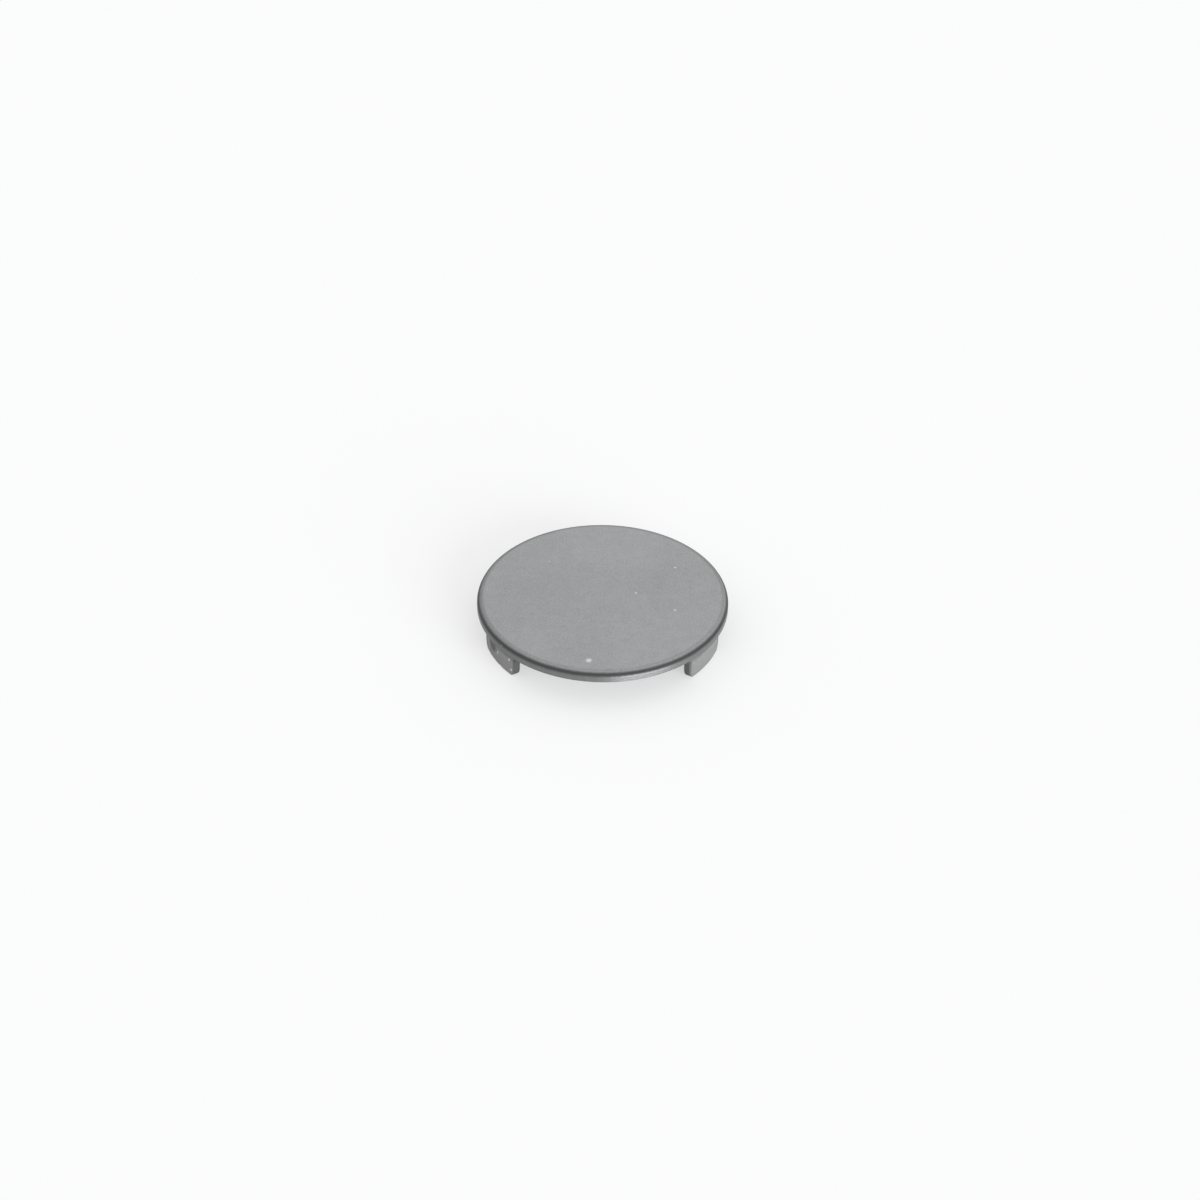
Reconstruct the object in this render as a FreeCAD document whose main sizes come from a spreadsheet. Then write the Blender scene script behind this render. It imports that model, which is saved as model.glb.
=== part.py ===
import FreeCAD, Part
import math
import os
import Sketcher

# A one-piece moulded cap for a round hole in a thin panel.
# A flat round head with a rounded rim covers the hole. Three short curved legs under it enter the
# hole and snap behind the panel.
# The origin is on the axis, in the plane on which the leg tips stand. Up is +Z, and one leg is at +Y.

# Lengths are in millimetres and angles in degrees.
SIZES = [
    ("holeDiameter", 35.0, "hole that the cap closes"),
    ("rimOverlap", 1.0, "how far the head covers the panel round the hole"),
    ("rimHeight", 1.75, "height of the head at its rim"),
    ("topWall", 1.1, "thickness of the head inside the rim"),
    ("topRound", 0.85, "rounding of the upper edge of the rim"),
    ("rimLowerChamfer", 0.2, "chamfer on the lower edge of the rim"),
    ("recessChamfer", 0.3, "chamfer in the corner of the recess under the head"),
    ("neckClearance", 0.1, "gap between the neck of a leg and the wall of the hole"),
    ("panelGrip", 1.0, "panel thickness that the neck leaves room for"),
    ("beadReach", 0.25, "how far the snap bead stands out from the neck"),
    ("tipChamfer", 0.25, "chamfer that leads the bead into the hole"),
    ("legWall", 0.55, "wall of a leg at its neck"),
    ("legLength", 4.25, "length of a leg below the rim"),
    ("legWidth", 9.0, "width of a leg where it meets the head"),
    ("legDraft", 2.0, "slope of the sides of a leg"),
    ("legCount", 3, "number of legs"),
    ("cornerRound", 1.6, "rounding of the lower corners of a leg"),
    ("rootRound", 0.25, "rounding where the sides of a leg meet the head"),
    ("cutMargin", 1.0, "how far the cuts that shape the legs reach past them"),
]

# Radii and heights that follow from the sizes above.
PLACES = [
    ("headRadius", "=holeDiameter / 2 + rimOverlap"),
    ("rimFlatRadius", "=holeDiameter / 2 + rimOverlap - rimLowerChamfer"),
    ("headTop", "=legLength + rimHeight"),
    ("headUnderside", "=legLength"),
    ("rimWallBottom", "=legLength + rimLowerChamfer"),
    ("recessTop", "=legLength + rimHeight - topWall"),
    ("recessWallTop", "=legLength + rimHeight - topWall - recessChamfer"),
    ("recessFlatRadius", "=holeDiameter / 2 - neckClearance - legWall - recessChamfer"),
    ("neckRadius", "=holeDiameter / 2 - neckClearance"),
    ("innerRadius", "=holeDiameter / 2 - neckClearance - legWall"),
    ("beadRadius", "=holeDiameter / 2 - neckClearance + beadReach"),
    ("tipFlatRadius", "=holeDiameter / 2 - neckClearance + beadReach - tipChamfer"),
    ("blankRadius", "=holeDiameter / 2 - neckClearance + beadReach + cutMargin"),
    ("blankCorner", "=sqrt(blankRadius ^ 2 + (legWidth / 2) ^ 2)"),
    ("outerCutRadius", "=blankCorner + cutMargin"),
    ("catchLevel", "=legLength - panelGrip"),
    ("beadTop", "=legLength - panelGrip - beadReach"),
]

TOLERANCE = 1e-4


def makeSheet(doc):
    sheet = doc.addObject("Spreadsheet::Sheet", "sizes")
    rows = [(name, str(value), note) for name, value, note in SIZES]
    rows += [(name, formula, "follows from the sizes") for name, formula in PLACES]
    for row, (name, content, note) in enumerate(rows, start=1):
        sheet.set("A%d" % row, name)
        sheet.set("B%d" % row, content)
        sheet.set("C%d" % row, note)
        sheet.setAlias("B%d" % row, name)
    doc.recompute()
    return sheet


def originFeature(body, role):
    for feature in body.Origin.OriginFeatures:
        if feature.Role == role:
            return feature
    raise RuntimeError("the body has no origin feature " + role)


# Closed outline on an origin plane. Each corner is a radius and a height, by name or zero.
def addProfile(body, sheet, name, plane, corners):
    sketch = body.newObject("Sketcher::SketchObject", name)
    sketch.AttachmentSupport = [(originFeature(body, plane), "")]
    sketch.MapMode = "FlatFace"

    def value(size):
        return float(sheet.get(size)) if size else 0.0

    points = [FreeCAD.Vector(value(radius), value(height), 0) for radius, height in corners]
    count = len(points)
    for i in range(count):
        sketch.addGeometry(Part.LineSegment(points[i], points[(i + 1) % count]), False)
    for i in range(count):
        sketch.addConstraint(Sketcher.Constraint("Coincident", i, 2, (i + 1) % count, 1))
    for i in range(count):
        radius, height = corners[i]
        nextRadius, nextHeight = corners[(i + 1) % count]
        if radius == nextRadius:
            sketch.addConstraint(Sketcher.Constraint("Vertical", i))
        if height == nextHeight:
            sketch.addConstraint(Sketcher.Constraint("Horizontal", i))

    placed = set()
    for i, (radius, height) in enumerate(corners):
        for size, kind, axis in ((radius, "DistanceX", -2), (height, "DistanceY", -1)):
            if (size, kind) in placed:
                continue
            placed.add((size, kind))
            if not size:
                sketch.addConstraint(Sketcher.Constraint("PointOnObject", i, 1, axis))
                continue
            index = sketch.addConstraint(Sketcher.Constraint(kind, -1, 1, i, 1, value(size)))
            sketch.renameConstraint(index, size)
            sketch.setExpression("Constraints." + size, "sizes." + size)
    return sketch


# Front of a leg as seen along its radius: a tab with sloping sides and rounded lower corners.
def addLegOutline(body, sheet):
    sketch = body.newObject("Sketcher::SketchObject", "legOutline")
    sketch.AttachmentSupport = [(originFeature(body, "XZ_Plane"), "")]
    sketch.MapMode = "FlatFace"

    length = float(sheet.get("legLength"))
    half = float(sheet.get("legWidth")) / 2
    corner = float(sheet.get("cornerRound"))
    draft = math.radians(float(sheet.get("legDraft")))

    # The corner's centre is one radius above the tip and one radius inside the sloping side.
    centreX = half - (length - corner) * math.tan(draft) - corner / math.cos(draft)
    sideX = centreX + corner * math.cos(draft)
    sideZ = corner - corner * math.sin(draft)

    def point(x, z):
        return FreeCAD.Vector(x, z, 0)

    def cornerArc(sign, start, end):
        circle = Part.Circle(point(sign * centreX, corner), FreeCAD.Vector(0, 0, 1), corner)
        return Part.ArcOfCircle(circle, start, end)

    top, rightSide, rightCorner, tip, leftCorner, leftSide = range(6)
    sketch.addGeometry(Part.LineSegment(point(-half, length), point(half, length)), False)
    sketch.addGeometry(Part.LineSegment(point(half, length), point(sideX, sideZ)), False)
    sketch.addGeometry(cornerArc(1, -math.pi / 2, -draft), False)
    sketch.addGeometry(Part.LineSegment(point(centreX, 0), point(-centreX, 0)), False)
    sketch.addGeometry(cornerArc(-1, math.pi + draft, 1.5 * math.pi), False)
    sketch.addGeometry(Part.LineSegment(point(-sideX, sideZ), point(-half, length)), False)

    rules = [
        ("Coincident", top, 2, rightSide, 1),
        ("Tangent", rightSide, 2, rightCorner, 2),
        ("Tangent", rightCorner, 1, tip, 1),
        ("Tangent", tip, 2, leftCorner, 2),
        ("Tangent", leftCorner, 1, leftSide, 1),
        ("Coincident", leftSide, 2, top, 1),
        ("Symmetric", top, 1, top, 2, -2),
        ("Equal", rightCorner, leftCorner),
        ("PointOnObject", tip, 1, -1),
        ("Symmetric", tip, 1, tip, 2, -2),
    ]
    for rule in rules:
        sketch.addConstraint(Sketcher.Constraint(*rule))

    sizes = [
        ("legWidth", "DistanceX", (top, 1, top, 2), 2 * half),
        ("legLength", "DistanceY", (-1, 1, top, 1), length),
        ("cornerRound", "Radius", (rightCorner,), corner),
        ("legDraft", "Angle", (rightSide, 1, -2, 2), draft),
    ]
    for name, kind, places, value in sizes:
        index = sketch.addConstraint(Sketcher.Constraint(kind, *places, value))
        sketch.renameConstraint(index, name)
        sketch.setExpression("Constraints." + name, "sizes." + name)
    return sketch


def revolve(body, name, kind, sketch):
    feature = body.newObject("PartDesign::" + kind, name)
    feature.Profile = sketch
    feature.ReferenceAxis = (sketch, ["V_Axis"])
    feature.Angle = 360
    sketch.Visibility = False
    return feature


# Fillet on those edges of the solid so far for which wanted is true.
def roundEdges(body, name, size, wanted):
    base = body.Tip
    names = [
        "Edge%d" % i
        for i, edge in enumerate(base.Shape.Edges, start=1)
        if wanted(edge)
    ]
    if not names:
        raise RuntimeError("no edges found for " + name)
    feature = body.newObject("PartDesign::Fillet", name)
    feature.Base = (base, names)
    feature.setExpression("Radius", "sizes." + size)
    body.Document.recompute()
    return feature


def isCircleAt(radius, height):
    def test(edge):
        curve = edge.Curve
        if curve.TypeId != "Part::GeomCircle":
            return False
        sameRadius = abs(curve.Radius - radius) < TOLERANCE
        sameHeight = abs(curve.Center.z - height) < TOLERANCE
        return sameRadius and sameHeight

    return test


def isLineAt(height):
    def test(edge):
        if edge.Curve.TypeId != "Part::GeomLine":
            return False
        return all(abs(vertex.Z - height) < TOLERANCE for vertex in edge.Vertexes)

    return test


def makeHoleCap(doc, sheet):
    body = doc.addObject("PartDesign::Body", "holeCap")
    body.Label = "hole_cap"

    headCorners = [
        (0, "headTop"),
        ("headRadius", "headTop"),
        ("headRadius", "rimWallBottom"),
        ("rimFlatRadius", "headUnderside"),
        ("innerRadius", "headUnderside"),
        ("innerRadius", "recessWallTop"),
        ("recessFlatRadius", "recessTop"),
        (0, "recessTop"),
    ]
    headProfile = addProfile(body, sheet, "headProfile", "XZ_Plane", headCorners)
    revolve(body, "head", "Revolution", headProfile)

    # A slab for each leg, from the axis outwards. The first is centred on +Y.
    legOutline = addLegOutline(body, sheet)
    slab = body.newObject("PartDesign::Pad", "legSlab")
    slab.Profile = legOutline
    slab.Reversed = True
    slab.setExpression("Length", "sizes.blankRadius")
    legOutline.Visibility = False
    doc.recompute()

    legs = body.newObject("PartDesign::PolarPattern", "legs")
    legs.Originals = [slab]
    legs.Axis = (originFeature(body, "Z_Axis"), [""])
    legs.Angle = 360
    legs.setExpression("Occurrences", "sizes.legCount")
    body.Tip = legs
    doc.recompute()

    insideCorners = [
        (0, "headUnderside"),
        ("innerRadius", "headUnderside"),
        ("innerRadius", 0),
        (0, 0),
    ]
    insideProfile = addProfile(body, sheet, "insideProfile", "XZ_Plane", insideCorners)
    revolve(body, "insideOfLegs", "Groove", insideProfile)

    # Outside of the legs: the neck passes the panel, the bead catches behind it, and the
    # chamfer at the tip leads it into the hole.
    outsideCorners = [
        ("neckRadius", "headUnderside"),
        ("neckRadius", "catchLevel"),
        ("beadRadius", "beadTop"),
        ("beadRadius", "tipChamfer"),
        ("tipFlatRadius", 0),
        ("outerCutRadius", 0),
        ("outerCutRadius", "headUnderside"),
    ]
    outsideProfile = addProfile(body, sheet, "outsideProfile", "XZ_Plane", outsideCorners)
    revolve(body, "outsideOfLegs", "Groove", outsideProfile)
    doc.recompute()

    headRadius = float(sheet.get("headRadius"))
    headTop = float(sheet.get("headTop"))
    underside = float(sheet.get("headUnderside"))
    roundEdges(body, "legRoots", "rootRound", isLineAt(underside))
    roundEdges(body, "rimUpperEdge", "topRound", isCircleAt(headRadius, headTop))
    return body


def checkDocument(doc, bodies):
    for item in doc.Objects:
        if "Invalid" in item.State or "Error" in item.State:
            raise RuntimeError("%s failed: %s" % (item.Name, item.State))
    for body in bodies:
        if body.Shape.isNull() or not body.Shape.isValid():
            raise RuntimeError(body.Label + " has no valid shape")
        if len(body.Shape.Solids) != 1:
            raise RuntimeError(body.Label + " is not one solid")


def main():
    doc = FreeCAD.newDocument("holeCap")
    sheet = makeSheet(doc)
    bodies = [makeHoleCap(doc, sheet)]
    doc.recompute()
    checkDocument(doc, bodies)

    os.makedirs("parts", exist_ok=True)
    for body in bodies:
        body.Shape.exportStep(os.path.join("parts", body.Label + ".step"))
        box = body.Shape.optimalBoundingBox()
        print("%s: %.2f x %.2f x %.2f mm" % (body.Label, box.XLength, box.YLength, box.ZLength))
        print("volume %.1f cubic millimetres, %d faces" % (body.Shape.Volume, len(body.Shape.Faces)))


main()
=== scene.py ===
import math

import bmesh
import bpy
from mathutils import Matrix, Vector


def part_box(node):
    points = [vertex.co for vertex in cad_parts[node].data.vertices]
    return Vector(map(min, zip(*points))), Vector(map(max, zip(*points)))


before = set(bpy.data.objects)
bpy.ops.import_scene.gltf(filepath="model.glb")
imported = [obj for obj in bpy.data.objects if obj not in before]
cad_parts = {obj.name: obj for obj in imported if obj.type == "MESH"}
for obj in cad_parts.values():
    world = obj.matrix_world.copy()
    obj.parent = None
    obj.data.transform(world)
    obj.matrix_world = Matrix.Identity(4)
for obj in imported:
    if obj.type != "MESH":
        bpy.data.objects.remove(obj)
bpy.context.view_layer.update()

mm = 0.001

# The cap's own sizes, read from the frame
lowCorner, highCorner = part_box("hole_cap")
headRadius = (highCorner.x - lowCorner.x) / 2
headTop = highCorner.z


# A shader socket, so that sums of wires add their own Math nodes
class Wire:
    def __init__(self, tree, socket=None):
        self.tree = tree
        self.socket = socket

    # Any node: its settings are set first, then the values or wires of its sockets
    def node(self, kind, settings=None, inputs=None, output=0):
        made = self.tree.nodes.new(kind)
        for name, value in (settings or {}).items():
            setattr(made, name, value)
        for key, value in (inputs or {}).items():
            if isinstance(value, Wire):
                self.tree.links.new(value.socket, made.inputs[key])
            else:
                made.inputs[key].default_value = value
        return Wire(self.tree, made.outputs[output] if len(made.outputs) else None)

    def math(self, operation, first, second):
        return self.node("ShaderNodeMath", {"operation": operation}, {0: first, 1: second})

    def __add__(self, other):
        return self.math("ADD", self, other)

    def __radd__(self, other):
        return self.math("ADD", other, self)

    def __sub__(self, other):
        return self.math("SUBTRACT", self, other)

    def __rsub__(self, other):
        return self.math("SUBTRACT", other, self)

    def __mul__(self, other):
        return self.math("MULTIPLY", self, other)

    def __rmul__(self, other):
        return self.math("MULTIPLY", other, self)

    # 0 below low, 1 above high and smooth between them
    def between(self, low, high):
        settings = {"interpolation_type": "SMOOTHSTEP", "clamp": True}
        sockets = {"Value": self, "From Min": low, "From Max": high}
        return self.node("ShaderNodeMapRange", settings, sockets)

    def larger(self, other):
        return self.math("MAXIMUM", self, other)

    # Colour between two, by this wire
    def blend(self, first, second):
        sockets = {"Factor": self, 6: first, 7: second}
        return self.node("ShaderNodeMix", {"data_type": "RGBA"}, sockets, output=2)

    def noise(self, size, detail, roughness):
        sockets = {"Vector": self, "Scale": 1.0 / size, "Detail": detail, "Roughness": roughness}
        return self.node("ShaderNodeTexNoise", {"noise_dimensions": "3D"}, sockets)


def grey(level, warmth=0.0):
    return (level * (1 + warmth), level, level * (1 - warmth), 1.0)


# Plastic: one moulding, so one material. The top face has the fine, matt grain of the mould. The
# rounded edge is smooth, and the side of the rim and the legs are satin. Their colours are lit and
# shaded copies of the one plastic: the top's light grey is partly its grain and partly painted sheen,
# and the near-black of the edge and the dark grey of the rim's side are painted shade.

plasticLook = {
    # Painted sheen lightens the grain's colour; painted shade darkens the edge's and the rim side's
    "grainAndSheenColour": grey(0.315, -0.008),
    "paintedRingColour": grey(0.245, -0.008),    # painted shade on the grain, in a ring beside the edge
    "edgePaintedShadeColour": grey(0.022, 0.05),
    "wallPaintedShadeColour": grey(0.092, -0.02),
    "legColour": grey(0.168, 0.01),
    "legPaintedShadeKeeps": 0.36,                      # painted shade: what the backs and ends of the legs keep of their colour

    # Where one finish or painted shade gives way to the next: distances inside the outline
    "paintedRingFrom": (1.15 * mm, 0.70 * mm),
    "edgeFrom": (0.56 * mm, 0.17 * mm),
    "legBackFrom": (1.35 * mm, 1.12 * mm),
    # and depths under the top face
    "wallBelow": (0.42 * mm, 0.90 * mm),
    "legBelow": (1.70 * mm, 2.10 * mm),
    "wander": 0.12 * mm,                    # how unevenly the edge and the side start
    "legCount": 3,
    "legEnds": (0.745, 0.81),               # height of a wave with its tops at the legs' middles

    # Noises: size, detail and roughness, then how much each changes the shade
    "fineNoise": (0.26 * mm, 2.0, 0.65),
    "mottleNoise": (1.1 * mm, 5.0, 0.6),
    "broadNoise": (13 * mm, 2.0, 0.5),
    "fineShade": 0.60,
    "mottleShade": 0.22,
    "broadShade": 0.22,

    "grainDepth": 0.01 * mm,
    "smoothDepth": 0.15,                    # share of that depth on the edge
    "lean": 0.36,                           # slope in the shading of the rim's side; its shape is upright
    "grainRoughness": 0.62,
    "edgeRoughness": 0.42,
    "wallRoughness": 0.32,
    "legRoughness": 0.50,
    "roughnessChange": 0.12,
    "grainShine": 0.0,
    "edgeShine": 0.60,
    "sideShine": 0.90,
    "ior": 1.49,
}

# Dust as it lies on the real cap, and a spot of painted shade at the top of the left leg, under the rim.
# Spots are a place in mm and a width in mm.
dustAndShadeLook = {
    "dustColour": grey(0.75, 0.03),
    "dustCover": 0.62,
    "dust": [
        ((-1.9, -15.5, 6.0), 0.80),
        ((10.8, 7.1, 6.0), 0.30),
        ((4.9, 0.7, 6.0), 0.26),
        ((10.6, -3.4, 6.0), 0.26),
        ((-14.8, -9.6, 0.2), 0.45),
        ((-13.4, -11.4, 2.75), 0.38),
        ((-13.2, -11.8, 1.15), 0.38),
        ((-15.2, -9.0, 2.2), 0.34),
    ],
    "dustFade": (0.2, 0.75),                # shares of the width
    "dustRagged": 0.55 * mm,
    "speckSpacing": 1.6 * mm,               # fine specks, scattered all over
    "speckFade": (0.03, 0.075),             # shares of the spacing
    "speckPick": (0.86, 0.88),              # only cells above this have one
    "paintedShadeSpot": ((-16.0, -7.5, 2.7), 2.8),     # painted shade at the top of the left leg, under the rim
    "paintedSpotFade": (0.25, 0.6),
    "paintedSpotRagged": 0.6,                     # share of the width
    "paintedSpotKeeps": 0.2,
}


def plasticMaterial(look, dustAndShade):
    material = bpy.data.materials.new("mouldedPlastic")
    material.use_nodes = True
    tree = material.node_tree
    tree.nodes.clear()
    start = Wire(tree)

    place = start.node("ShaderNodeTexCoord", output="Object")
    across, along, height = (
        start.node("ShaderNodeSeparateXYZ", inputs={0: place}, output=part) for part in "XYZ"
    )
    below = headTop - height
    flat = start.node("ShaderNodeVectorMath", {"operation": "MULTIPLY"}, {0: place, 1: (1, 1, 0)})
    fromAxis = start.node("ShaderNodeVectorMath", {"operation": "LENGTH"}, {0: flat}, output="Value")

    fine = place.noise(*look["fineNoise"])
    mottle = place.noise(*look["mottleNoise"])
    broad = place.noise(*look["broadNoise"])
    wander = (mottle - 0.5) * look["wander"]

    # Rises from 0 to 1 towards the outline, between two distances inside it
    def outwards(wire, depths):
        return wire.between(*(headRadius - depth for depth in depths))

    # A ring of painted shade on the grain, beside the edge
    paintedRing = outwards(fromAxis, look["paintedRingFrom"])
    edge = outwards(fromAxis + wander, look["edgeFrom"])
    wall = (below + wander).between(*look["wallBelow"])
    leg = below.between(*look["legBelow"])

    # Painted shade on the backs and ends of the legs, which darkens them. One leg stands at the back, the
    # others at even steps.
    turned = start.math("ARCTAN2", along, across) * look["legCount"]
    legWave = 0.0 - start.node("ShaderNodeMath", {"operation": "SINE"}, {0: turned})
    legBack = 1.0 - outwards(fromAxis, look["legBackFrom"])
    legPaintedShade = leg * legBack.larger(1.0 - legWave.between(*look["legEnds"]))

    # Fine light specks here and there
    cells = {"Vector": place, "Scale": 1.0 / dustAndShade["speckSpacing"], "Randomness": 1.0}
    near = start.node("ShaderNodeTexVoronoi", {"feature": "F1"}, cells)
    cell = start.node("ShaderNodeTexVoronoi", {"feature": "F1"}, cells, output="Color")
    picked = start.node("ShaderNodeSeparateColor", inputs={0: cell})
    dust = (1.0 - near.between(*dustAndShade["speckFade"])) * picked.between(*dustAndShade["speckPick"])

    # Rises from 0 to 1 away from a spot, with a ragged outline
    def awayFrom(spot, width, unevenness, ragged, fade):
        centre = tuple(value * mm for value in spot)
        sockets = {0: place, 1: centre}
        gap = start.node("ShaderNodeVectorMath", {"operation": "DISTANCE"}, sockets, output="Value")
        gap = gap + (unevenness - 0.5) * ragged
        return gap.between(*(share * width * mm for share in fade))

    for spot, width in dustAndShade["dust"]:
        dust = dust.larger(1.0 - awayFrom(spot, width, fine, dustAndShade["dustRagged"], dustAndShade["dustFade"]))
    # A spot of painted shade at the top of the left leg, under the rim
    spot, width = dustAndShade["paintedShadeSpot"]
    outsidePaintedSpot = awayFrom(spot, width, mottle, dustAndShade["paintedSpotRagged"] * width * mm, dustAndShade["paintedSpotFade"])
    outsidePaintedSpot = dustAndShade["paintedSpotKeeps"] + outsidePaintedSpot * (1.0 - dustAndShade["paintedSpotKeeps"])

    shade = 1.0 + (fine - 0.5) * look["fineShade"] + (mottle - 0.5) * look["mottleShade"]
    shade = shade + (broad - 0.5) * look["broadShade"]
    # Painted shade: the spot under the rim and the backs and ends of the legs darken the colour
    shade = shade * outsidePaintedSpot * (1.0 - legPaintedShade * (1.0 - look["legPaintedShadeKeeps"]))
    shadeColour = start.node("ShaderNodeCombineColor", inputs={0: shade, 1: shade, 2: shade})

    grainShare = look["smoothDepth"] + (1.0 - look["smoothDepth"]) * (1.0 - edge)
    grainRelief = fine * grainShare * look["grainDepth"]
    leanRelief = below * (1.0 - leg) * look["lean"]
    relief = start.node(
        "ShaderNodeBump",
        inputs={"Strength": 1.0, "Distance": 1.0, "Height": grainRelief + leanRelief},
    )

    # One finish of the plastic, with the noise shades, the painted shade and the dust over its colour
    def finish(colour, roughness, shine):
        shaded = start.node(
            "ShaderNodeMix", {"data_type": "RGBA", "blend_type": "MULTIPLY"},
            {"Factor": 1.0, 6: colour, 7: shadeColour}, output=2,
        )
        return start.node(
            "ShaderNodeBsdfPrincipled", {},
            {
                "Base Color": (dust * dustAndShade["dustCover"]).blend(shaded, dustAndShade["dustColour"]),
                "Roughness": roughness + (mottle - 0.5) * look["roughnessChange"],
                "Specular IOR Level": shine, "IOR": look["ior"], "Normal": relief,
            },
        )

    # Painted sheen on the top and painted shade on the edge and the rim's side come in through these
    # colours
    topColour = paintedRing.blend(look["grainAndSheenColour"], look["paintedRingColour"])
    sideColour = leg.blend(look["wallPaintedShadeColour"], look["legColour"])
    sideRoughness = look["wallRoughness"] + leg * (look["legRoughness"] - look["wallRoughness"])
    top = finish(topColour, look["grainRoughness"], look["grainShine"])
    bend = finish(look["edgePaintedShadeColour"], look["edgeRoughness"], look["edgeShine"])
    side = finish(sideColour, sideRoughness, look["sideShine"])
    whole = start.node("ShaderNodeMixShader", inputs={0: edge, 1: top, 2: bend})
    whole = start.node("ShaderNodeMixShader", inputs={0: wall, 1: whole, 2: side})
    start.node("ShaderNodeOutputMaterial", inputs={"Surface": whole})
    return material


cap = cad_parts["hole_cap"]
cap.data.materials.clear()
cap.data.materials.append(plasticMaterial(plasticLook, dustAndShadeLook))
print("plastic ready")


# Floor: its own white, and a share of light that only the camera sees, so its shadows stay pale

floorLook = {
    "radius": 3.0,
    "sides": 96,
    "colour": grey(0.915),
    "seenLevel": 0.95,
    "seenShare": 0.58,
}


def makeFloor(look):
    mesh = bpy.data.meshes.new("floor")
    shape = bmesh.new()
    bmesh.ops.create_circle(shape, cap_ends=True, segments=look["sides"], radius=look["radius"])
    shape.to_mesh(mesh)
    shape.free()
    floor = bpy.data.objects.new("floor", mesh)
    bpy.context.scene.collection.objects.link(floor)

    material = bpy.data.materials.new("paleFloor")
    material.use_nodes = True
    tree = material.node_tree
    tree.nodes.clear()
    start = Wire(tree)
    paper = start.node("ShaderNodeBsdfDiffuse", inputs={"Color": look["colour"]})
    seen = start.node(
        "ShaderNodeEmission", inputs={"Color": grey(look["seenLevel"]), "Strength": 1.0}
    )
    byCamera = start.node("ShaderNodeLightPath", output="Is Camera Ray")
    mixed = start.node(
        "ShaderNodeMixShader", inputs={0: byCamera * look["seenShare"], 1: paper, 2: seen}
    )
    start.node("ShaderNodeOutputMaterial", inputs={"Surface": mixed})
    mesh.materials.append(material)


makeFloor(floorLook)


# Light: a pale room, with a wide soft light low at the front right

lightLook = {
    "room": 0.88,                # level of the even light from all round
    "seenLevel": 0.96,           # level of the room where the camera sees it
    "keyDirection": (34, 6),     # degrees to the right of the camera, degrees above the floor
    "keyLevel": 4.6,
    "keySpread": 48,             # degrees across
    "keyColour": (0.96, 0.985, 1.0),
}


# Unit vector towards a place so many degrees right of the camera and above the floor
def direction(right, above):
    right, above = math.radians(right), math.radians(above)
    return Vector((
        math.sin(right) * math.cos(above), -math.cos(right) * math.cos(above), math.sin(above),
    ))


def makeLight(look):
    world = bpy.data.worlds.new("studio")
    bpy.context.scene.world = world
    world.use_nodes = True
    tree = world.node_tree
    tree.nodes.clear()
    start = Wire(tree)
    byCamera = start.node("ShaderNodeLightPath", output="Is Camera Ray")
    room = start.node(
        "ShaderNodeBackground", inputs={"Color": grey(1.0), "Strength": look["room"]}
    )
    seen = start.node(
        "ShaderNodeBackground", inputs={"Color": grey(look["seenLevel"]), "Strength": 1.0}
    )
    mixed = start.node("ShaderNodeMixShader", inputs={0: byCamera, 1: room, 2: seen})
    start.node("ShaderNodeOutputWorld", inputs={"Surface": mixed})

    lamp = bpy.data.lights.new("key", "SUN")
    lamp.energy = look["keyLevel"]
    lamp.angle = math.radians(look["keySpread"])
    lamp.color = look["keyColour"]
    key = bpy.data.objects.new("key", lamp)
    away = direction(*look["keyDirection"])
    key.location = away
    key.rotation_mode = "QUATERNION"
    key.rotation_quaternion = away.to_track_quat("Z", "Y")
    bpy.context.scene.collection.objects.link(key)


makeLight(lightLook)
print("floor and light ready")


# Camera

cameraLook = {
    "photoFrame": 1200,           # pixels each way
    "elevation": 36.89,           # degrees above the floor
    "distance": 0.3985,           # from the middle of the top face
    "roll": 0.6,                  # degrees; the head's right side stands lower in the photograph
    "headHalfWidth": 125.7,       # pixels
    "topMiddle": (602.7, 595.4),  # pixels
    "sensorWidth": 36.0,          # mm
    "clip": (0.01, 20.0),
}


def makeCamera(look):
    data = bpy.data.cameras.new("camera")
    data.sensor_width = look["sensorWidth"]
    perPixel = headRadius / look["headHalfWidth"]
    data.lens = look["sensorWidth"] * look["distance"] / (look["photoFrame"] * perPixel)
    data.clip_start, data.clip_end = look["clip"]
    camera = bpy.data.objects.new("camera", data)
    bpy.context.scene.collection.objects.link(camera)

    back = direction(0, look["elevation"])
    roll = Matrix.Rotation(math.radians(look["roll"]), 3, "Z")
    turn = back.to_track_quat("Z", "Y").to_matrix() @ roll
    across, down = ((pixel - look["photoFrame"] / 2) * perPixel for pixel in look["topMiddle"])
    middle = Vector((0, 0, headTop)) + back * look["distance"]
    camera.location = middle - turn.col[0] * across + turn.col[1] * down
    camera.rotation_mode = "QUATERNION"
    camera.rotation_quaternion = turn.to_quaternion()
    bpy.context.scene.camera = camera


makeCamera(cameraLook)
bpy.context.scene.view_settings.view_transform = "Standard"
print("camera ready")
